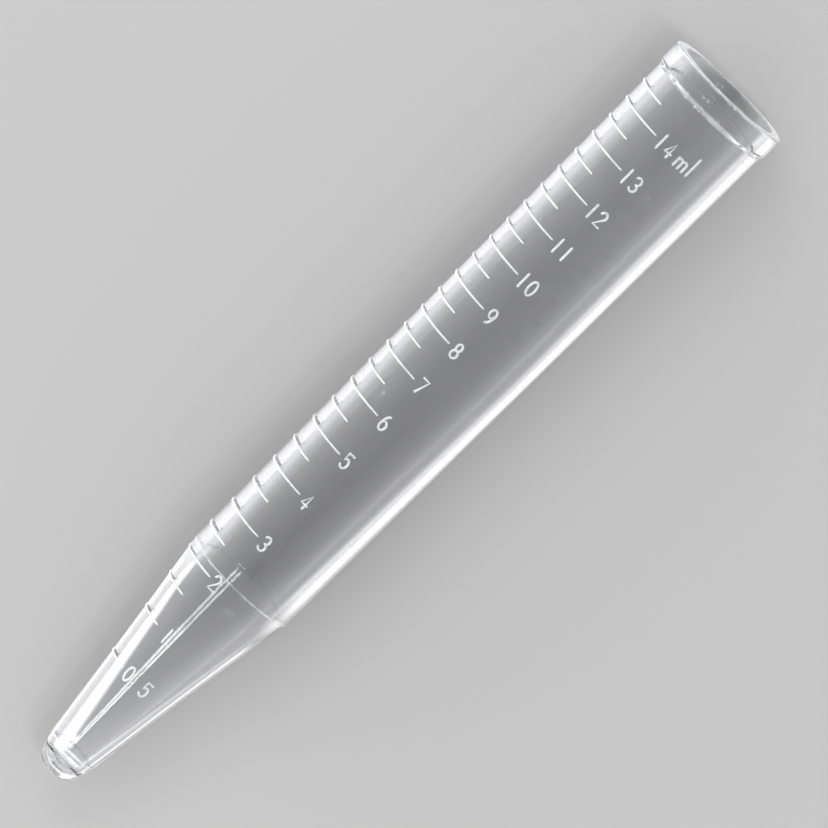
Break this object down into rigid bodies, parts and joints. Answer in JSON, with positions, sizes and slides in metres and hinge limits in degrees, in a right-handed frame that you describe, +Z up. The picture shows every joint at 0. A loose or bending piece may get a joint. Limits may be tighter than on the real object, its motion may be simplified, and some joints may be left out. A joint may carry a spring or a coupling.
{
  "type": "conical centrifuge tube",
  "caption": "Clear moulded conical tube with a collar at its mouth and a raised millilitre scale, lying on its side, without a cap.",
  "frame": {"origin": "on the surface the tube lies on, under the middle of its bounding box", "axes": "+X towards the mouth, +Z up, with the scale facing up; the tube lies on its collar and on the knee between cone and body, which lifts its mouth by 0.634 degrees"},
  "size_m": [0.12, 0.0174, 0.0175],
  "materials": {
    "clear_polystyrene": "clear, polished"
  },
  "bodies": {
    "root": {"conical_tube": "clear_polystyrene"}
  },
  "joints": []
}
